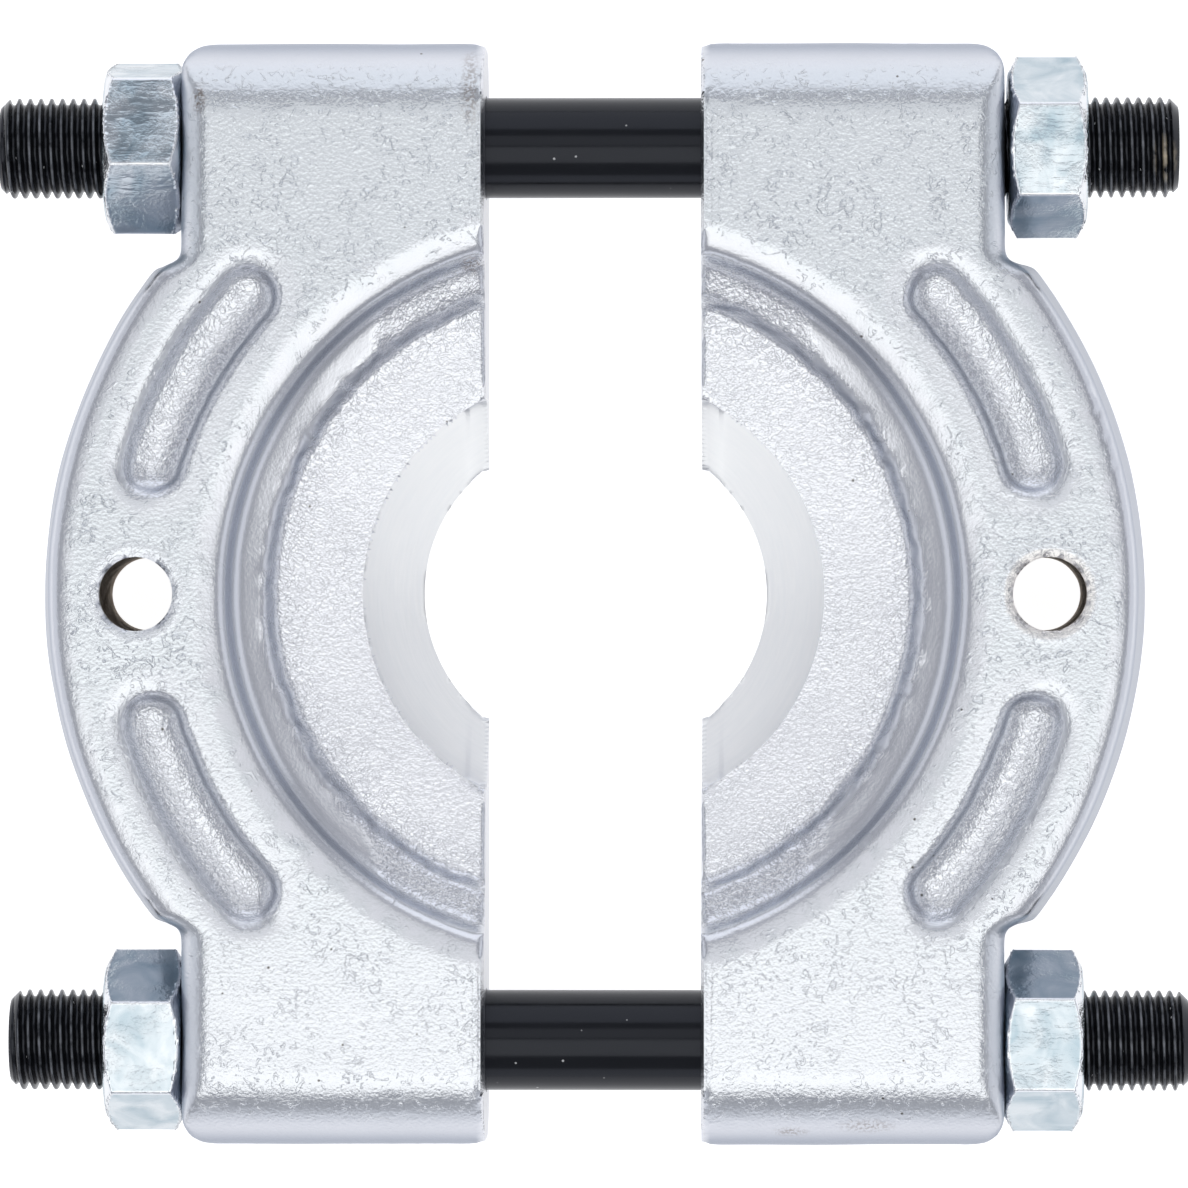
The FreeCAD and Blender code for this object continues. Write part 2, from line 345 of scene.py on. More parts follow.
# Limits of the zones that are trued, in millimetres. Of a pair, a zone fades in from the first value
# to the second.
MILLED_DEPTH = 0.8
UPWARD = 0.5
TOP_EDGE = (24.5, 25.0)
BEFORE_LUG_END = (71.0, 69.0)
OFF_PARTING = (0.5, 1.3)
OFF_BACK = (0.25, 0.7)
IN_RECESS = (SHOULDER_END + 1, SHOULDER_END - 1)
ON_CONE = (CONE_END + 0.5, CONE_END - 0.5)
KNIFE_CORNER = (3.2, 2.2)
STEP_FOOT = (PLATE_END - 1.5, PLATE_END)
STEP_TOP = (PLATE_END + 3.0, PLATE_END + 1.5)
ON_RIM = (RIM_START, RIM_START + 1)
RIM_OFF_NOTCH = (NOTCH_WALL - 0.5, NOTCH_WALL - 1.5)
RIM_OFF_BACK = (0.1, 0.6)
BY_POCKET = (7.8, 7.2)
ABOVE_POCKET = (21.5, 22.0)
OUTER_SIDE = (BAND_RADIUS - 2.5, BAND_RADIUS + 2.5)
BY_HOLE = (7.5, 6.9)
IN_FUNNEL = (FUNNEL_FOOT - 0.4, FUNNEL_FOOT)
FUNNEL_MARGIN = 0.2

# Layers of unevenness that a worn die leaves in the step round the plate and in the pockets' walls
FINE_STEP_WANDER = (0.30, 1.8, 40)
BROAD_STEP_WANDER = (0.20, 5.0, 41)
POCKET_WANDER = (0.12, 2.0, 42)

# The softened corners: which points lie in them, and how often they are evened out
WHOLE = 0.9
CONE_CLEARANCE = 2
NOTCH_REACH = 3.5
NOTCH_START = RIM_START - 3
GROOVE_REACH = 3.2
CORNER_FOOT = 1.5
LUG_SIDE_FOOT = 15.0
LUG_END_Y = 66.0
LUG_SIDE_X = 51.0
LUG_SIDE_Y = 50.0
LIGHT_SOFTENING = 3
FULL_SOFTENING = 8


def true_half(piece, seed):
    """Mills a half's parting face, trues its turned and hollowed surfaces and softens its corners."""
    places, normals = read_points(piece.data)
    side, centre, hole = landmarks(places)
    inward = np.abs(places[:, 0]) - PARTING_FACE
    radius = np.linalg.norm(places[:, :2] - centre, axis=1)

    # The parting face was milled after forging, so its edges are crisp again
    by_parting = inward < MILLED_DEPTH
    facing_up = normals[:, 2] > UPWARD
    upright = by_parting & ~facing_up & (normals[:, 2] > -UPWARD)
    places[upright, 0] = (side * PARTING_FACE)[upright]
    level = by_parting * facing_up * ease(places[:, 2], *TOP_EDGE)
    level = level * ease(np.abs(places[:, 1]), *BEFORE_LUG_END)
    places[:, 2] += (FACE_HEIGHT - places[:, 2]) * level

    # The recess is trued up to its edges, but the cone's corners by the parting face stay as they are
    off_parting = np.maximum(ease(inward, *OFF_PARTING), facing_up)
    in_recess = off_parting * ease(places[:, 2], *OFF_BACK) * ease(radius, *IN_RECESS)
    in_recess *= 1 - ease(radius, *ON_CONE) * ease(inward, *KNIFE_CORNER)
    step = ease(radius, *STEP_FOOT) * ease(radius, *STEP_TOP)
    wander = step * (lumps(places, FINE_STEP_WANDER, seed) + lumps(places, BROAD_STEP_WANDER, seed))
    places = true_about(places, centre, RECESS_OUTLINE, in_recess, wander)

    on_rim = ease(radius, *ON_RIM) * ease(np.abs(places[:, 1]), *RIM_OFF_NOTCH)
    on_rim *= ease(places[:, 2], *RIM_OFF_BACK)
    places = true_about(places, centre, RIM_OUTLINE, on_rim)

    line = pocket_line(places)
    from_line = np.linalg.norm(places[:, :2] - line, axis=1)
    near_pocket = ease(from_line, *BY_POCKET) * ease(places[:, 2], *ABOVE_POCKET)
    outer_side = ease(radius, *OUTER_SIDE)
    wander = lumps(places, POCKET_WANDER, seed)
    places = true_about(places, line, OUTER_POCKET, near_pocket * outer_side, wander)
    places = true_about(places, line, INNER_POCKET, near_pocket * (1 - outer_side), wander)

    # The puller hole is widened to its thread's root below the funnel, where the thread is set in
    reach = np.linalg.norm(places[:, :2] - hole, axis=1)
    in_funnel = ease(reach, *BY_HOLE) * ease(places[:, 2], *IN_FUNNEL)
    places = true_about(places, hole, FUNNEL_OUTLINE, in_funnel)
    below = (reach < HOLE_ROOT) & (places[:, 2] < FUNNEL_FOOT - FUNNEL_MARGIN)
    widened = (places[below, :2] - hole[below]) * (HOLE_ROOT / reach[below])[:, None]
    places[below, :2] = hole[below] + widened
    write_points(piece.data, places)

    off_back = places[:, 2] > CORNER_FOOT
    soft = (in_recess > WHOLE) & (radius > CONE_END + CONE_CLEARANCE)
    soft = soft | (on_rim > WHOLE) | (near_pocket > WHOLE)
    notch = (np.abs(np.abs(places[:, 1]) - NOTCH_WALL) < NOTCH_REACH) & (radius > NOTCH_START)
    groove = (in_recess > WHOLE) & (np.abs(radius - GROOVE_RADIUS) < GROOVE_REACH)
    lug_end = np.abs(places[:, 1]) > LUG_END_Y
    lug_side = (np.abs(places[:, 0]) > LUG_SIDE_X) & (np.abs(places[:, 1]) > LUG_SIDE_Y)
    over_lug = (places[:, 2] > LUG_SIDE_FOOT) & (lug_end | lug_side) & (inward > CORNER_FOOT)
    soften_some(piece, (soft | notch) & off_back, LIGHT_SOFTENING)
    soften_some(piece, notch & off_back, FULL_SOFTENING)
    soften_some(piece, groove | over_lug, FULL_SOFTENING)


# Limits of the zones of the finish, in millimetres, or as a share of upright for a surface's tilt. A
# zone fades in from the first value to the second.
NEAR_PARTING = (1.0, 0.3)
NEAR_BACK = (1.2, 0.3)
IN_CONE = (CONE_END + 0.7, CONE_END + 0.2)
IN_HOLE = (HOLE_ROOT + 0.2, HOLE_ROOT)
UNDER_FUNNEL = (FUNNEL_FOOT, FUNNEL_FOOT - 0.5)
RECESS_ENDS = (0.72, 0.86)
PLATE_EDGE = (PLATE_END + 2.3, PLATE_END + 0.8)
PLATE_WIDENING = 5.0
ABOVE_CONE = (15.0, 17.0)
POCKET_FLOOR = (5.2, 4.4)
HOLE_LIP = (7.4, 6.2)
LIP_HEIGHT = (23.0, 24.0)
PLATE_RING = (PLATE_END - 5, PLATE_END - 1)
BAND_FOOT = (PLATE_END + 1.2, PLATE_END + 2.2)
BAND_TOP = (SHOULDER_END + 2.0, SHOULDER_END - 3.0)
RIM_EDGE = (RIM_START - 0.5, RIM_START + 2.5)
RIM_END = (NOTCH_WALL, NOTCH_WALL - 2)
POCKET_CREST = (8.5, 6.2)
FACE_TILT = (0.5, 0.9)
FACE_TOP = (22.0, 24.5)
OFF_LOWER_LUGS = (-58.0, -35.0)
# Painted shade: the tilt over which a wall's colour darkens to the shaded lilac grey
SHADED_WALL_TILT = (0.8, 0.3)
ROUND_TILT = (0.999, 0.80)
BARE_RING = (6.5, 6.25)
BARE_HEIGHT = (26.5, 25.0)
ON_FACE = (20.0, 22.0)

# How strongly the zones count
PLATE_GRAIN = 0.35
PLATE_RING_GRAIN = 0.4
POCKET_GRAIN = 0.7
LIP_GRAIN = 0.4
RIM_GLOSS = 0.9
CREST_GLOSS = 0.5
RIM_FADE = 0.5
LOWER_LUG_PEEL = 0.5
PLAIN_BEADS = 0.35

# Layers of unevenness: the zones' edges and strength, and the die skin's relief
PLATE_EDGE_LUMPS = (1.5, 2.2, 3)
PLATE_GRAIN_LUMPS = (0.15, 12.0, 4)
BAND_EDGE_LUMPS = (2.5, 2.6, 17)
SWELL = (0.09, 11.0, 13)
GLOSS_SWELL = (0.03, 4.5, 21)
FINE_PEBBLES = (0.04, 1.25, 0)
BROAD_PEBBLES = (0.03, 2.4, 5)
BEAD_LUMPS = (1.0, 1.5, 7)
BEAD_TOPS = (0.16, 0.42)
BEAD_PATCHES = (1.0, 7.0, 9)
BEAD_PATCH_TOPS = (-0.25, 0.25)
BEAD_HEIGHT = 0.07

# Stains of the face, as place, half width, half height and strength
STAINS = [(-16.9, 70.0, 1.3, 6.0, 0.6), (-54.3, 68.3, 1.0, 2.2, 0.9), (-16.7, 45.6, 1.6, 1.2, 0.7),
          (38.0, -73.5, 4.0, 1.0, 0.5), (27.5, -74.4, 2.4, 0.7, 0.6)]
STAIN_EDGE = (1.3, 0.3)
# Pits of the rim, as place, radius and depth. The innermost fifth of a pit is its floor.
PITS = [(69.7, 28.2, 1.0, 0.35), (68.7, 31.0, 0.7, 0.2), (69.7, 25.1, 0.8, 0.2), (70.9, 21.4, 0.7, 0.2),
        (72.1, 17.7, 0.7, 0.2), (-32.0, -2.7, 0.6, 0.15)]
PIT_FLOOR = 0.2


def finish_half(piece, seed, low, high):
    """Gives a half its die skin, marks the zones of its finish and marks the steep walls that get painted
    shade.

    Low and high are the corners of the box that the half stays in."""
    places, normals = read_points(piece.data)
    side, centre, hole = landmarks(places)
    inward = np.abs(places[:, 0]) - PARTING_FACE
    aside = np.abs(places[:, 1])
    radius = np.linalg.norm(places[:, :2] - centre, axis=1)
    reach = np.linalg.norm(places[:, :2] - hole, axis=1)
    from_pocket = np.linalg.norm(places[:, :2] - pocket_line(places), axis=1)
    upward = normals[:, 2]

    # The faces that were cut after forging carry no skin
    height = places[:, 2]
    machined = np.maximum(ease(inward, *NEAR_PARTING), ease(height, *NEAR_BACK))
    machined = np.maximum(machined, ease(radius, *IN_CONE))
    machined = np.maximum(machined, ease(reach, *IN_HOLE) * ease(height, *UNDER_FUNNEL))

    # The pebbled zones: the plate, whose edge runs unevenly up the step, the pockets and the hole's lip
    edge = lumps(places, PLATE_EDGE_LUMPS, seed)
    edge += PLATE_WIDENING * ease(aside, *(part * radius for part in RECESS_ENDS))
    plate = ease(radius, *(place + edge for place in PLATE_EDGE)) * ease(height, *ABOVE_CONE)
    hollow = ease(from_pocket, *POCKET_FLOOR)
    lip = ease(reach, *HOLE_LIP) * ease(height, *LIP_HEIGHT)
    coarse = PLATE_GRAIN + lumps(places, PLATE_GRAIN_LUMPS, seed)
    coarse += PLATE_RING_GRAIN * ease(radius, *PLATE_RING)
    grain = np.maximum(np.maximum(plate * coarse, POCKET_GRAIN * hollow), LIP_GRAIN * lip)

    # The smooth zones: the recess's band, the rim and the crests round the pockets
    fade = lumps(places, BAND_EDGE_LUMPS, seed)
    band = ease(radius, *BAND_FOOT) * ease(radius + fade, *BAND_TOP)
    rim = ease(radius + RIM_FADE * fade, *RIM_EDGE) * ease(aside, *RIM_END)
    crest = ease(from_pocket, *POCKET_CREST) * (1 - hollow)
    gloss = np.maximum(np.maximum(band, RIM_GLOSS * rim), CREST_GLOSS * crest)

    # The flats between them are beaded, most of all away from the lower lugs
    peel = ease(upward, *FACE_TILT) * (1 - grain) * (1 - gloss) * ease(height, *FACE_TOP)
    peel *= LOWER_LUG_PEEL + (1 - LOWER_LUG_PEEL) * ease(places[:, 1], *OFF_LOWER_LUGS)

    swell = lumps(places, SWELL, seed) + gloss * lumps(places, GLOSS_SWELL, seed)
    pebbles = lumps(places, FINE_PEBBLES, seed) + lumps(places, BROAD_PEBBLES, seed)
    beads = ease(lumps(places, BEAD_LUMPS, seed), *BEAD_TOPS)
    beads *= ease(lumps(places, BEAD_PATCHES, seed), *BEAD_PATCH_TOPS)
    bead_share = peel + PLAIN_BEADS * (1 - grain - peel).clip(0, 1) * (1 - gloss)
    skin = swell + grain * pebbles + BEAD_HEIGHT * beads * bead_share
    places += normals * (skin * (1 - machined))[:, None]
    for x, y, spread, depth in PITS:
        from_pit = np.hypot(places[:, 0] - x, places[:, 1] - y)
        places[:, 2] -= depth * ease(from_pit, spread, PIT_FLOOR * spread) * ease(places[:, 2], *ON_FACE)
    places = np.clip(places, low, high)
    write_points(piece.data, places)

    stain = np.zeros(len(places))
    for x, y, half_width, half_height, strength in STAINS:
        off = np.hypot((places[:, 0] - x) / half_width, (places[:, 1] - y) / half_height)
        stain = np.maximum(stain, strength * ease(off, *STAIN_EDGE))
    plain = (1 - machined) * (1 - grain) * (1 - gloss)
    write_share(piece.data, "grain", grain)
    write_share(piece.data, "gloss", gloss * (1 - grain))
    write_share(piece.data, "peel", peel)
    # Painted shade on the walls: the more a surface faces sideways, the darker its colour
    write_share(piece.data, "flank", ease(upward, *SHADED_WALL_TILT) * (1 - machined))
    write_share(piece.data, "round", ease(upward, *ROUND_TILT) * plain)
    write_share(piece.data, "bare", ease(reach, *BARE_RING) * ease(height, *BARE_HEIGHT) * (side > 0))
    write_share(piece.data, "stain", stain * ease(height, *ON_FACE))


# Limits of the turned faces, which take in the whole cone but not the wall above it or the back
TURNED_RADIUS = CONE_END + 0.05
TURNED_TOP = CONE_TOP + 0.1
TURNED_FOOT = 0.2


def turned_faces(mesh, slot):
    """Puts the faces of the knife cone in the material slot of their own."""
    middles = np.empty(len(mesh.polygons) * 3, np.float32)
    mesh.polygons.foreach_get("center", middles)
    middles = middles.reshape(-1, 3) / MM
    radius = np.hypot(np.abs(middles[:, 0]) - ARC_CENTRE_X, middles[:, 1])
    on_cone = (radius < TURNED_RADIUS) & (middles[:, 2] < TURNED_TOP) & (middles[:, 2] > TURNED_FOOT)
    mesh.polygons.foreach_set("material_index", np.where(on_cone, slot, 0).astype(np.int32))


# The numbers of a Mix node's sockets for colours
MIX_A, MIX_B, MIXED = 6, 7, 2

# Heights of the coat's relief, in millimetres times the strength of its pattern
COBBLE_RELIEF = 0.14
BEAD_RELIEF = 0.11
DUST_RELIEF = 0.07
PLATEAU_SHARE = 0.28
SILVER_ROUGHNESS = 0.25

# Satin silver plating on a blasted forging: a pale metal whose sheen is broken by the die's skin,
# pebbled in the hollows, beaded on the flats and nearly smooth on the rims. Its steep walls carry
# painted shade, a darker lilac grey.
silver_coat = bpy.data.materials.new("satin_silver_plating")
silver_coat.use_nodes = True
tree = silver_coat.node_tree
coat = tree.nodes["Principled BSDF"]
coat.inputs["Metallic"].default_value = 1.0
zones = {name: add_node(tree, "ShaderNodeAttribute", {"attribute_name": name}).outputs["Fac"]
         for name in ("grain", "gloss", "peel", "flank", "round", "bare", "stain")}
where = add_node(tree, "ShaderNodeTexCoord").outputs["Object"]
cloudy = add_node(tree, "ShaderNodeTexNoise", {"Scale": 1 / (14 * MM), "Detail": 3.0}, {"Vector": where})
tone = add_node(tree, "ShaderNodeMix",
                {"data_type": "RGBA", MIX_A: linear("#E0E2E6"), MIX_B: linear("#ECEDF1")},
                {0: cloudy.outputs["Fac"]})
flats = add_node(tree, "ShaderNodeMix", {"data_type": "RGBA", MIX_B: linear("#DEE2E5")},
                 {0: zones["peel"], MIX_A: tone.outputs[MIXED]})
# Painted shade: surfaces that face sideways are coloured a darker lilac grey, as walls look in shade
shaded_walls = add_node(tree, "ShaderNodeMix", {"data_type": "RGBA", MIX_B: linear("#A9AFBB")},
                {0: zones["flank"], MIX_A: flats.outputs[MIXED]})
steel = add_node(tree, "ShaderNodeMix", {"data_type": "RGBA", MIX_B: linear("#E6DACB")},
                 {0: zones["bare"], MIX_A: shaded_walls.outputs[MIXED]})
pebble = add_node(tree, "ShaderNodeTexNoise", {"Scale": 1 / (0.75 * MM), "Detail": 2.0, "Distortion": 0.8},
                  {"Vector": where})
worm = add_node(tree, "ShaderNodeTexNoise", {"Scale": 1 / (1.5 * MM), "Detail": 2.0, "Distortion": 1.5},
                {"Vector": where})
raised = add_node(tree, "ShaderNodeMapRange",
                  {"interpolation_type": "SMOOTHSTEP", "From Min": 0.58, "From Max": 0.67},
                  {0: worm.outputs["Fac"]})
patch = add_node(tree, "ShaderNodeTexNoise", {"Scale": 1 / (8 * MM), "Detail": 1.0}, {"Vector": where})
where_raised = add_node(tree, "ShaderNodeMapRange", {"From Min": 0.25, "From Max": 0.60},
                        {0: patch.outputs["Fac"]})
dust = add_node(tree, "ShaderNodeTexNoise", {"Scale": 1 / (0.45 * MM), "Detail": 2.0}, {"Vector": where})
# The pebbles are plateaus between worm-like seams, where the noise is near its middle value
seam = add_node(tree, "ShaderNodeTexNoise", {"Scale": 1 / (1.3 * MM), "Detail": 1.0, "Distortion": 1.2},
                {"Vector": where})
off_seam = add_node(tree, "ShaderNodeMath", {"operation": "SUBTRACT", 1: 0.5}, {0: seam.outputs["Fac"]})
off_seam = add_node(tree, "ShaderNodeMath", {"operation": "ABSOLUTE"}, {0: off_seam.outputs[0]})
plateau = add_node(tree, "ShaderNodeMapRange", {"interpolation_type": "SMOOTHSTEP", "From Max": 0.05},
                   {0: off_seam.outputs[0]})
cobble = add_node(tree, "ShaderNodeMath", {"operation": "MULTIPLY_ADD", 1: PLATEAU_SHARE},
                  {0: plateau.outputs[0], 2: pebble.outputs["Fac"]})
cobble = add_node(tree, "ShaderNodeMath", {"operation": "MULTIPLY"},
                  {0: cobble.outputs[0], 1: zones["grain"]})
bead = add_node(tree, "ShaderNodeMath", {"operation": "MULTIPLY"},
                {0: raised.outputs[0], 1: where_raised.outputs[0]})
bead = add_node(tree, "ShaderNodeMath", {"operation": "MULTIPLY"}, {0: bead.outputs[0], 1: zones["peel"]})
matt_share = add_node(tree, "ShaderNodeMath", {"operation": "MULTIPLY_ADD", 1: -0.7, 2: 1.0},
                      {0: zones["gloss"]})
speckle = add_node(tree, "ShaderNodeMath", {"operation": "MULTIPLY"},
                   {0: dust.outputs["Fac"], 1: matt_share.outputs[0]})
relief = add_node(tree, "ShaderNodeMath", {"operation": "MULTIPLY", 1: COBBLE_RELIEF},
                  {0: cobble.outputs[0]})
relief = add_node(tree, "ShaderNodeMath", {"operation": "MULTIPLY_ADD", 1: BEAD_RELIEF},
                  {0: bead.outputs[0], 2: relief.outputs[0]})
relief = add_node(tree, "ShaderNodeMath", {"operation": "MULTIPLY_ADD", 1: DUST_RELIEF},
                  {0: speckle.outputs[0], 2: relief.outputs[0]})
skin_bump = add_node(tree, "ShaderNodeBump", {"Strength": 1.0, "Distance": MM},
                     {"Height": relief.outputs[0]})
tree.links.new(skin_bump.outputs[0], coat.inputs["Normal"])
# Pebbled zones are a little smoother between their bumps, and rounded corners are duller
rough = add_node(tree, "ShaderNodeMath", {"operation": "MULTIPLY_ADD", 1: -0.03, 2: SILVER_ROUGHNESS},
                 {0: zones["grain"]})
rough = add_node(tree, "ShaderNodeMath", {"operation": "MULTIPLY_ADD", 1: 0.02},
                 {0: zones["gloss"], 2: rough.outputs[0]})
rough = add_node(tree, "ShaderNodeMath", {"operation": "MULTIPLY_ADD", 1: 0.12},
                 {0: zones["round"], 2: rough.outputs[0]})
tree.links.new(rough.outputs[0], coat.inputs["Roughness"])
# Handling stains lie over the coat in broken brown flecks, and pores show as dark points
fleck = add_node(tree, "ShaderNodeMapRange", {"From Min": 0.42, "From Max": 0.60}, {0: dust.outputs["Fac"]})
stained = add_node(tree, "ShaderNodeMath", {"operation": "MULTIPLY"},
                   {0: zones["stain"], 1: fleck.outputs[0]})
soiled = add_node(tree, "ShaderNodeMix", {"data_type": "RGBA", MIX_B: linear("#8C8078")},
                  {0: stained.outputs[0], MIX_A: steel.outputs[MIXED]})
pore_cell = add_node(tree, "ShaderNodeTexVoronoi", {"Scale": 1 / (5 * MM)}, {"Vector": where})
pore = add_node(tree, "ShaderNodeMapRange", {"From Min": 0.045, "From Max": 0.03},
                {0: pore_cell.outputs["Distance"]})
pored = add_node(tree, "ShaderNodeMix", {"data_type": "RGBA", MIX_B: linear("#85827F")},
                 {0: pore.outputs[0], MIX_A: soiled.outputs[MIXED]})
tree.links.new(pored.outputs[MIXED], coat.inputs["Base Color"])

RING_SPACING = 0.42
RING_BREAKS = 5.0
RING_DEPTH = 0.05
TREAD_TILT = -1.3

# Turned and plated steel: the lathe's rings on the knife cone spread its sheen into a fan.
turned_cone = bpy.data.materials.new("turned_silver_plated_steel")
turned_cone.use_nodes = True
tree = turned_cone.node_tree
cone = tree.nodes["Principled BSDF"]
cone.inputs["Metallic"].default_value = 1.0
cone.inputs["Roughness"].default_value = 0.38
cone.inputs["Anisotropic"].default_value = 0.80
where = add_node(tree, "ShaderNodeTexCoord").outputs["Object"]
parts = add_node(tree, "ShaderNodeSeparateXYZ", (), {0: where})
out_x = add_node(tree, "ShaderNodeMath", {"operation": "ABSOLUTE"}, {0: parts.outputs["X"]})
out_x = add_node(tree, "ShaderNodeMath", {"operation": "SUBTRACT", 1: ARC_CENTRE_X * MM},
                 {0: out_x.outputs[0]})
sign_x = add_node(tree, "ShaderNodeMath", {"operation": "SIGN"}, {0: parts.outputs["X"]})
from_x = add_node(tree, "ShaderNodeMath", {"operation": "MULTIPLY"},
                  {0: out_x.outputs[0], 1: sign_x.outputs[0]})
outward = add_node(tree, "ShaderNodeCombineXYZ", (), {"X": from_x.outputs[0], "Y": parts.outputs["Y"]})
tree.links.new(outward.outputs[0], cone.inputs["Tangent"])
turn_radius = add_node(tree, "ShaderNodeVectorMath", {"operation": "LENGTH"}, {0: outward.outputs[0]})
turn_angle = add_node(tree, "ShaderNodeMath", {"operation": "ARCTAN2"},
                      {0: parts.outputs["Y"], 1: out_x.outputs[0]})
ring_place = add_node(tree, "ShaderNodeMath", {"operation": "MULTIPLY", 1: 1 / (RING_SPACING * MM)},
                      {0: turn_radius.outputs["Value"]})
ring_run = add_node(tree, "ShaderNodeMath", {"operation": "MULTIPLY", 1: RING_BREAKS},
                    {0: turn_angle.outputs[0]})
on_ring = add_node(tree, "ShaderNodeCombineXYZ", (), {"X": ring_place.outputs[0], "Y": ring_run.outputs[0]})
rings = add_node(tree, "ShaderNodeTexNoise", {"Scale": 1.0, "Detail": 3.0}, {"Vector": on_ring.outputs[0]})
tone = add_node(tree, "ShaderNodeMix",
                {"data_type": "RGBA", MIX_A: linear("#F4F6F8"), MIX_B: linear("#FFFFFF")},
                {0: rings.outputs["Fac"]})
tree.links.new(tone.outputs[MIXED], cone.inputs["Base Color"])
# The lathe's feed steps are too fine to model. Their treads face the lamps more than the cone does.
tread = add_node(tree, "ShaderNodeMath", {"operation": "MULTIPLY", 1: TREAD_TILT},
                 {0: turn_radius.outputs["Value"]})
steps = add_node(tree, "ShaderNodeMath", {"operation": "MULTIPLY_ADD", 1: RING_DEPTH * MM},
                 {0: rings.outputs["Fac"], 2: tread.outputs[0]})
groove = add_node(tree, "ShaderNodeBump", {"Strength": 1.0, "Distance": 1.0}, {"Height": steps.outputs[0]})
tree.links.new(groove.outputs[0], cone.inputs["Normal"])

SKIN_SEED = 31.0
SEED_STEP = 17
SHARP_EDGE = 50

for number, side in enumerate(("left", "right")):
    half = own_mesh(side + "_jaw", side + "_forged_half")
    reskin(half, VOXEL, SKIN_SMOOTHING)
    low, high = (np.array(corner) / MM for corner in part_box(side + "_jaw"))
    true_half(half, SKIN_SEED + SEED_STEP * number)
    finish_half(half, SKIN_SEED + SEED_STEP * number, low, high)
    bpy.ops.object.shade_smooth_by_angle(angle=math.radians(SHARP_EDGE))
    half.data.materials.append(silver_coat)
    half.data.materials.append(turned_cone)
    turned_faces(half.data, 1)
    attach(half, side + "_half")
    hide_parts(side + "_jaw")

# The puller threads, cut into the plated forging through its face. The tap left bare steel,
# which has browned, so each is a sleeve of thread in its own colour, sunk into the hole's wall.

PULLER_PITCH = 1.75
THREAD_SEGMENTS = 48
RINGS_PER_PITCH = 12
THREAD_TOP = FUNNEL_FOOT - 0.3
THREAD_FOOT = 0.3
SLEEVE_ROOT = 6.2
ROOT_SHARE = 0.16
FLANK_SHARE = 0.72


def thread_depth(along, angle, pitch):
    """0 at the crest and 1 at the root of a right-hand thread with slightly rounded flanks."""
    phase = (along / pitch - angle / (2 * math.pi)) % 1.0
    rise = np.clip((np.abs(2 * phase - 1) - ROOT_SHARE) / FLANK_SHARE, 0, 1)
    return 1 - rise * rise * (3 - 2 * rise)


def face_outwards():
    """Turns all faces of the piece in hand outwards."""
    bpy.ops.object.mode_set(mode="EDIT")
    bpy.ops.mesh.select_all(action="SELECT")
    bpy.ops.mesh.normals_make_consistent(inside=False)
    bpy.ops.object.mode_set(mode="OBJECT")


# Browned bare steel: a dull, warm and patchy brown, paler and smoother where it is rubbed
bare_thread = bpy.data.materials.new("browned_bare_steel")
bare_thread.use_nodes = True
tree = bare_thread.node_tree
bare = tree.nodes["Principled BSDF"]
bare.inputs["Metallic"].default_value = 1.0
where = add_node(tree, "ShaderNodeTexCoord").outputs["Object"]
smear = add_node(tree, "ShaderNodeTexNoise", {"Scale": 1 / (1.5 * MM), "Detail": 4.0}, {"Vector": where})
tone = add_node(tree, "ShaderNodeMix",
                {"data_type": "RGBA", MIX_A: linear("#6A5E55"), MIX_B: linear("#C2B6A8")},
                {0: smear.outputs["Fac"]})
tree.links.new(tone.outputs[MIXED], bare.inputs["Base Color"])
worn = add_node(tree, "ShaderNodeMapRange", {"To Min": 0.5, "To Max": 0.32}, {0: smear.outputs["Fac"]})
tree.links.new(worn.outputs[0], bare.inputs["Roughness"])

thread_rings = int((THREAD_TOP - THREAD_FOOT) / PULLER_PITCH * RINGS_PER_PITCH)
for side, sign in (("left", -1), ("right", 1)):
    bpy.ops.object.select_all(action="DESELECT")
    bpy.ops.mesh.primitive_torus_add(major_segments=THREAD_SEGMENTS, minor_segments=thread_rings + 2,
                                     major_radius=1.0, minor_radius=0.5)
    thread = bpy.context.object
    thread.name = side + "_puller_thread"
    start = read_points(thread.data)[0] * MM
    angle = np.arctan2(start[:, 1], start[:, 0])
    # The torus's rings become the sleeve's: the first and last lie in the wall, the rest on the thread
    turn = np.arctan2(start[:, 2], np.hypot(start[:, 0], start[:, 1]) - 1.0) % (2 * math.pi)
    ring = np.rint(turn / (2 * math.pi) * (thread_rings + 2)).astype(int) % (thread_rings + 2)
    height = THREAD_TOP - (THREAD_TOP - THREAD_FOOT) * (ring - 1) / (thread_rings - 1)
    radius = HOLE_CORE + (HOLE_ROOT - HOLE_CORE) * thread_depth(height, angle, PULLER_PITCH)
    outer_foot = ring == thread_rings + 1
    outer_top = ring == 0
    height[outer_top] = THREAD_TOP
    height[outer_foot] = THREAD_FOOT
    radius[outer_top | outer_foot] = SLEEVE_ROOT
    across = sign * (ARC_CENTRE_X + BAND_RADIUS) + radius * np.cos(angle)
    write_points(thread.data, np.column_stack([across, radius * np.sin(angle), height]))
    face_outwards()
    bpy.ops.object.shade_smooth()
    thread.data.materials.append(bare_thread)
    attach(thread, side + "_half")

# The two studs. Each is turned steel bar, M14 with a fine 1.5 mm thread at both ends and a plain
# shank between the halves, blackened in hot oxide and oiled.

STUD_RADIUS = 7.0
STUD_PITCH = 1.5
STUD_THREAD_DEPTH = 0.92
STUD_HALF_LENGTH = 82.0
SHANK_HALF_LENGTH = 40.0
RUN_OUT = 1.5
END_CHAMFER = 1.3
STUD_Y = 62.2
STUD_SHIFTS = {"upper": -0.7, "lower": 0.7}
SHANK_RINGS = 40
STUD_MERGE = 1e-7
STUD_SHARP_EDGE = 40
CREST_DEPTH = (0.06, 0.0)
# The knock on the upper stud's end, as its place and size along and across the stud
KNOCK_PLACE = (79.3, -1.8)
KNOCK_SIZE = (1.7, 3.2)
KNOCK_EDGE = (1.2, 0.5)
KNOCK_DEPTH = (0.5, 0.1)

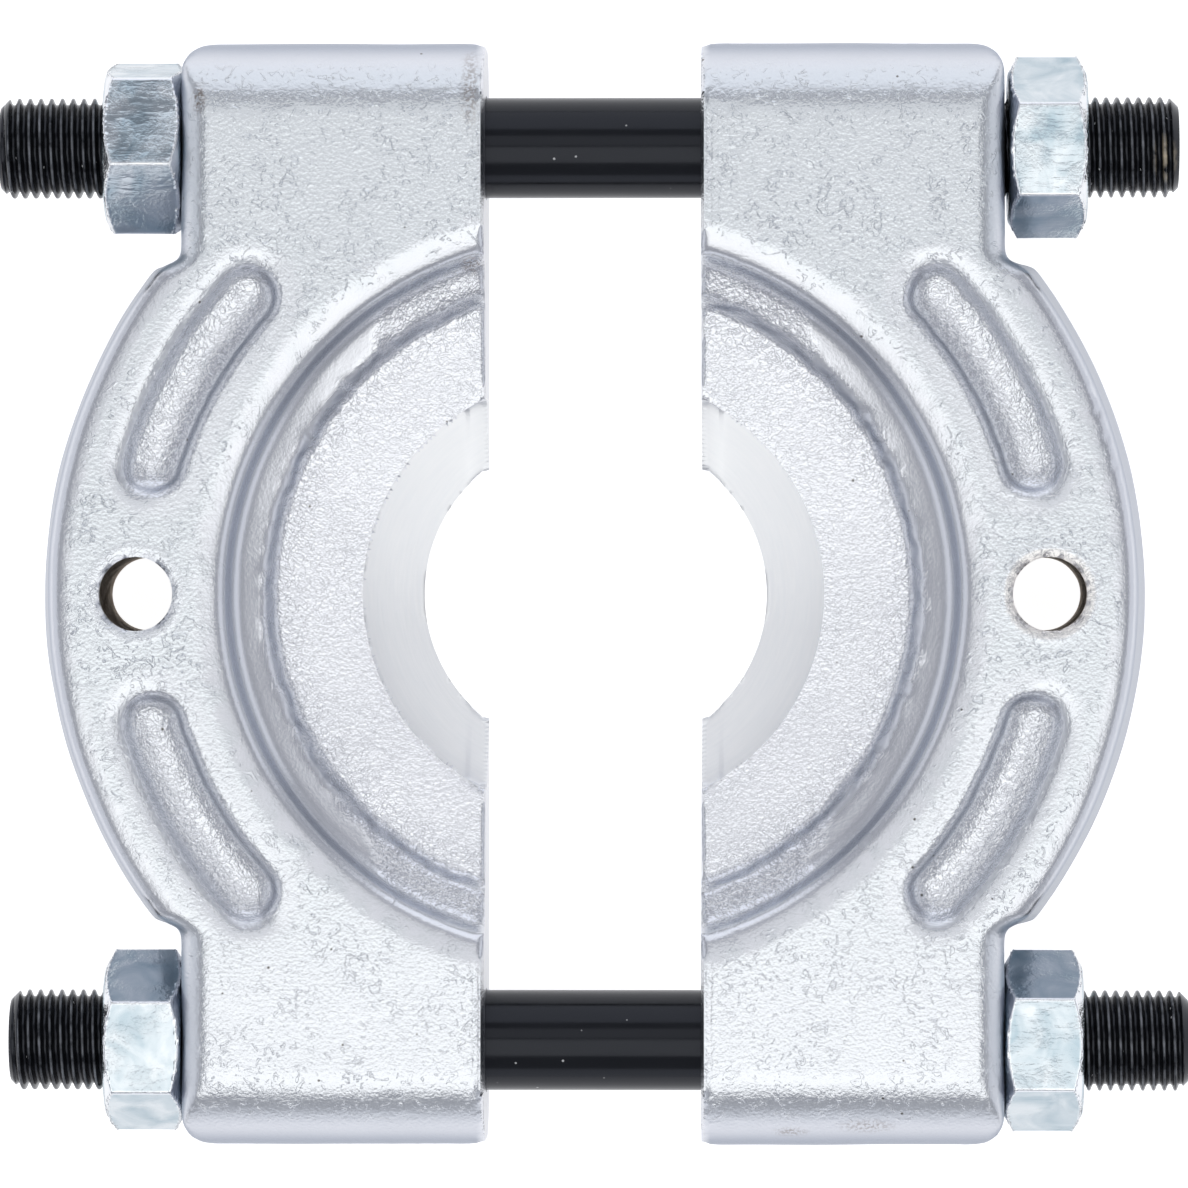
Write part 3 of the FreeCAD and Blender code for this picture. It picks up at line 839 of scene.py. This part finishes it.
# Oiled black oxide: a nearly black skin with an oil gloss, rubbed grey on the thread's crests, with
# a few pale points of lint
black_oxide = bpy.data.materials.new("oiled_black_oxide")
black_oxide.use_nodes = True
tree = black_oxide.node_tree
oxide = tree.nodes["Principled BSDF"]
oxide.inputs["Metallic"].default_value = 0.0
oxide.inputs["Specular Tint"].default_value = linear("#E3E8F6")
oxide.inputs["IOR"].default_value = 1.44
where = add_node(tree, "ShaderNodeTexCoord").outputs["Object"]
rubbed = add_node(tree, "ShaderNodeTexNoise", {"Scale": 1 / (2.2 * MM), "Detail": 4.0}, {"Vector": where})
wear = add_node(tree, "ShaderNodeMapRange", {"From Min": 0.35, "From Max": 0.7}, {0: rubbed.outputs["Fac"]})
on_crest = add_node(tree, "ShaderNodeAttribute", {"attribute_name": "crest"})
crest_wear = add_node(tree, "ShaderNodeMath", {"operation": "MULTIPLY"},
                      {0: on_crest.outputs["Fac"], 1: wear.outputs[0]})
tone = add_node(tree, "ShaderNodeMix",
                {"data_type": "RGBA", MIX_A: linear("#101113"), MIX_B: linear("#7C7E82")},
                {0: crest_wear.outputs[0]})
knock = add_node(tree, "ShaderNodeAttribute", {"attribute_name": "knock"})
knocked = add_node(tree, "ShaderNodeMath", {"operation": "MULTIPLY"},
                   {0: knock.outputs["Fac"], 1: wear.outputs[0]})
knocked = add_node(tree, "ShaderNodeMix", {"data_type": "RGBA", MIX_B: linear("#C9B99C")},
                   {0: knocked.outputs[0], MIX_A: tone.outputs[MIXED]})
lint_cell = add_node(tree, "ShaderNodeTexVoronoi", {"Scale": 1 / (3 * MM)}, {"Vector": where})
lint = add_node(tree, "ShaderNodeMapRange", {"From Min": 0.07, "From Max": 0.04},
                {0: lint_cell.outputs["Distance"]})
dusted = add_node(tree, "ShaderNodeMix", {"data_type": "RGBA", MIX_B: linear("#C8C8C6")},
                  {0: lint.outputs[0], MIX_A: knocked.outputs[MIXED]})
tree.links.new(dusted.outputs[MIXED], oxide.inputs["Base Color"])
stretched = add_node(tree, "ShaderNodeMapping", {"Scale": (0.15, 1, 1)}, {"Vector": where})
film = add_node(tree, "ShaderNodeTexNoise", {"Scale": 1 / (0.9 * MM), "Detail": 4.0},
                {"Vector": stretched.outputs[0]})
oily = add_node(tree, "ShaderNodeMapRange", {"To Min": 0.08, "To Max": 0.26}, {0: film.outputs["Fac"]})
tree.links.new(oily.outputs[0], oxide.inputs["Roughness"])

thread_stations = int((STUD_HALF_LENGTH - SHANK_HALF_LENGTH) / STUD_PITCH * RINGS_PER_PITCH) + 1
thread_run = np.linspace(STUD_HALF_LENGTH, SHANK_HALF_LENGTH, thread_stations)
shank_run = np.linspace(-SHANK_HALF_LENGTH, SHANK_HALF_LENGTH, SHANK_RINGS + 1)[1:-1]
stations = np.concatenate([-thread_run, shank_run, thread_run[::-1]])
for name, sign in (("upper", 1), ("lower", -1)):
    bpy.ops.object.select_all(action="DESELECT")
    bpy.ops.mesh.primitive_grid_add(x_subdivisions=len(stations) - 1, y_subdivisions=THREAD_SEGMENTS,
                                    size=1.0)
    rod = bpy.context.object
    rod.name = name + "_threaded_stud"
    start = read_points(rod.data)[0] * MM
    along = stations[np.rint((start[:, 0] + 0.5) * (len(stations) - 1)).astype(int)]
    angle = (start[:, 1] + 0.5) * 2 * math.pi
    cut = ease(np.abs(along), SHANK_HALF_LENGTH, SHANK_HALF_LENGTH + RUN_OUT)
    depth = cut * thread_depth(along, angle, STUD_PITCH)
    radius = STUD_RADIUS - STUD_THREAD_DEPTH * depth
    chamfer = STUD_RADIUS - END_CHAMFER + STUD_HALF_LENGTH - np.abs(along)
    write_share(rod.data, "crest", cut * ease(depth, *CREST_DEPTH) * (radius < chamfer))
    off_along = (along + STUD_SHIFTS[name] - KNOCK_PLACE[0]) / KNOCK_SIZE[0]
    off_across = (radius * np.cos(angle) - KNOCK_PLACE[1]) / KNOCK_SIZE[1]
    knock_share = ease(np.hypot(off_along, off_across), *KNOCK_EDGE) * ease(depth, *KNOCK_DEPTH)
    write_share(rod.data, "knock", knock_share * (name == "upper") * (np.sin(angle) > 0))
    radius = np.minimum(radius, chamfer)
    across = sign * STUD_Y + radius * np.cos(angle)
    above = STUD_HEIGHT / MM + radius * np.sin(angle)
    write_points(rod.data, np.column_stack([along + STUD_SHIFTS[name], across, above]))
    # The grid has become a tube: its seam is merged and both its ends are closed
    bpy.ops.object.mode_set(mode="EDIT")
    bpy.ops.mesh.select_all(action="SELECT")
    bpy.ops.mesh.remove_doubles(threshold=STUD_MERGE)
    bpy.ops.mesh.select_all(action="DESELECT")
    bpy.ops.mesh.select_non_manifold()
    bpy.ops.mesh.edge_face_add()
    bpy.ops.object.mode_set(mode="OBJECT")
    face_outwards()
    bpy.ops.object.shade_smooth_by_angle(angle=math.radians(STUD_SHARP_EDGE))
    rod.data.materials.append(black_oxide)
    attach(rod, name + "_stud")
    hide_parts(name + "_stud")

# The four hex nuts. Each is cold-formed steel, 22 mm across its flats, chamfered on both faces
# and plated in bright zinc with a faint blue tint. Its flats are worn in fine scratches.

NUT_VOXEL = 0.25 * MM
NUT_SMOOTHING = 1
NUT_HALF_FLATS = 11.0
NUT_CORNER = NUT_HALF_FLATS / math.cos(math.pi / 6)
NUT_EDGE_ROUNDING = 0.35
NUT_TRUING_REACH = 0.45
NUT_TURNS = {"upper_left": -17.2, "upper_right": 4.3, "lower_left": 3.0, "lower_right": 0.0}
NUT_FACE_RADIUS = 10.3
NUT_CHAMFER_SLOPE = math.tan(math.radians(60))
NUT_CHAMFER_DEPTH = (0.08, 1.5)
NUT_CHAMFER_REACH = 0.25
OFF_NUT_FACE = (0.0, 0.05)
NUT_SIDE = (NUT_FACE_RADIUS, NUT_FACE_RADIUS + 0.3)
# The worn edges of a nut: beside its corners, beside its chamfers and only on its outside
WORN_CORNER = (0.45, 0.15)
WORN_CHAMFER = (0.5, 0.15)
WORN_SIDE = (NUT_HALF_FLATS - 0.3, NUT_HALF_FLATS - 0.1)

# Blue bright zinc: a mirror-like pale metal, bluish where the passivation lies thick and palest on
# its worn edges
blue_zinc = bpy.data.materials.new("blue_bright_zinc")
blue_zinc.use_nodes = True
tree = blue_zinc.node_tree
zinc = tree.nodes["Principled BSDF"]
zinc.inputs["Metallic"].default_value = 1.0
where = add_node(tree, "ShaderNodeTexCoord").outputs["Object"]
thick = add_node(tree, "ShaderNodeTexNoise", {"Scale": 1 / (6 * MM), "Detail": 3.0, "Distortion": 0.8},
                 {"Vector": where})
blueness = add_node(tree, "ShaderNodeMapRange", {"From Min": 0.35, "From Max": 0.7},
                    {0: thick.outputs["Fac"]})
tone = add_node(tree, "ShaderNodeMix",
                {"data_type": "RGBA", MIX_A: linear("#DDE3E6"), MIX_B: linear("#A9BBC4")},
                {0: blueness.outputs[0]})
on_edge = add_node(tree, "ShaderNodeAttribute", {"attribute_name": "edge"})
edge_tone = add_node(tree, "ShaderNodeMix", {"data_type": "RGBA", MIX_B: linear("#F4F6F8")},
                     {0: on_edge.outputs["Fac"], MIX_A: tone.outputs[MIXED]})
tree.links.new(edge_tone.outputs[MIXED], zinc.inputs["Base Color"])
stretched = add_node(tree, "ShaderNodeMapping", {"Scale": (0.25, 1, 1)}, {"Vector": where})
streak = add_node(tree, "ShaderNodeTexNoise", {"Scale": 1 / (0.7 * MM), "Detail": 4.0, "Distortion": 0.4},
                  {"Vector": stretched.outputs[0]})
frost = add_node(tree, "ShaderNodeTexNoise", {"Scale": 1 / (0.6 * MM), "Detail": 3.0, "Distortion": 0.6},
                 {"Vector": where})
# The scuffs gather in patches, so that each flat has frosted and clear parts
frosted = add_node(tree, "ShaderNodeTexNoise", {"Scale": 1 / (5 * MM), "Detail": 1.0}, {"Vector": where})
frosted = add_node(tree, "ShaderNodeMapRange", {"From Min": 0.4, "From Max": 0.55},
                   {0: frosted.outputs["Fac"]})
frost_part = add_node(tree, "ShaderNodeMath", {"operation": "MULTIPLY"},
                      {0: frost.outputs["Fac"], 1: frosted.outputs[0]})
scuffs = add_node(tree, "ShaderNodeMath", {"operation": "MULTIPLY_ADD", 1: 0.45},
                  {0: streak.outputs["Fac"], 2: frost_part.outputs[0]})
rough = add_node(tree, "ShaderNodeMapRange",
                 {"From Min": 0.2, "From Max": 0.9, "To Min": 0.12, "To Max": 0.26},
                 {0: scuffs.outputs[0]})
tree.links.new(rough.outputs[0], zinc.inputs["Roughness"])
scratch = add_node(tree, "ShaderNodeBump", {"Strength": 1.0, "Distance": 0.10 * MM},
                   {"Height": scuffs.outputs[0]})
tree.links.new(scratch.outputs[0], zinc.inputs["Normal"])

for level, sign in (("upper", 1), ("lower", -1)):
    for side in ("left", "right"):
        name = level + "_" + side + "_nut"
        low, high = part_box(name)
        hexagon = own_mesh(name, level + "_" + side + "_hex_nut")
        reskin(hexagon, NUT_VOXEL, NUT_SMOOTHING)
        places, _ = read_points(hexagon.data)
        spoke = places[:, 1:] - np.array([sign * STUD_Y, STUD_HEIGHT / MM])
        reach = np.linalg.norm(spoke, axis=1)
        from_face = np.minimum(places[:, 0] - low.x / MM, high.x / MM - places[:, 0])

        # The flats are trued to a hexagon, whose outline starts and ends in the middle of one flat
        turn = math.radians(NUT_TURNS[level + "_" + side])
        seam = turn - math.pi / 6
        seam = [(NUT_HALF_FLATS * math.cos(seam), NUT_HALF_FLATS * math.sin(seam), 0)]
        angles = [turn + step * math.pi / 3 for step in range(6)]
        corners = [(NUT_CORNER * math.cos(a), NUT_CORNER * math.sin(a), NUT_EDGE_ROUNDING) for a in angles]
        on_flats = ease(from_face, *OFF_NUT_FACE) * ease(reach, *NUT_SIDE)
        new_y, new_z = trued(spoke[:, 0], spoke[:, 1], seam + corners + seam, on_flats, NUT_TRUING_REACH)
        places[:, 1] += new_y - spoke[:, 0]
        places[:, 2] += new_z - spoke[:, 1]
        spoke = np.column_stack([new_y, new_z])
        reach = np.linalg.norm(spoke, axis=1)

        # The chamfers are trued to cones about the stud
        cone_reach = NUT_FACE_RADIUS + NUT_CHAMFER_SLOPE * from_face
        on_chamfer = (from_face > NUT_CHAMFER_DEPTH[0]) & (from_face < NUT_CHAMFER_DEPTH[1])
        on_chamfer &= np.abs(reach - cone_reach) < NUT_CHAMFER_REACH
        places[on_chamfer, 1:] += spoke[on_chamfer] * ((cone_reach - reach) / reach)[on_chamfer, None]
        places = np.clip(places, np.array(low) / MM, np.array(high) / MM)
        write_points(hexagon.data, places)

        around = (np.arctan2(spoke[:, 1], spoke[:, 0]) - turn) % (math.pi / 3)
        from_corner = NUT_CORNER / 2 - np.abs(NUT_HALF_FLATS * np.tan(around - math.pi / 6))
        edge = np.maximum(ease(from_corner, *WORN_CORNER), ease(np.abs(reach - cone_reach), *WORN_CHAMFER))
        write_share(hexagon.data, "edge", edge * ease(reach, *WORN_SIDE))
        hexagon.data.materials.append(blue_zinc)
        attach(hexagon, name)
        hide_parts(name)
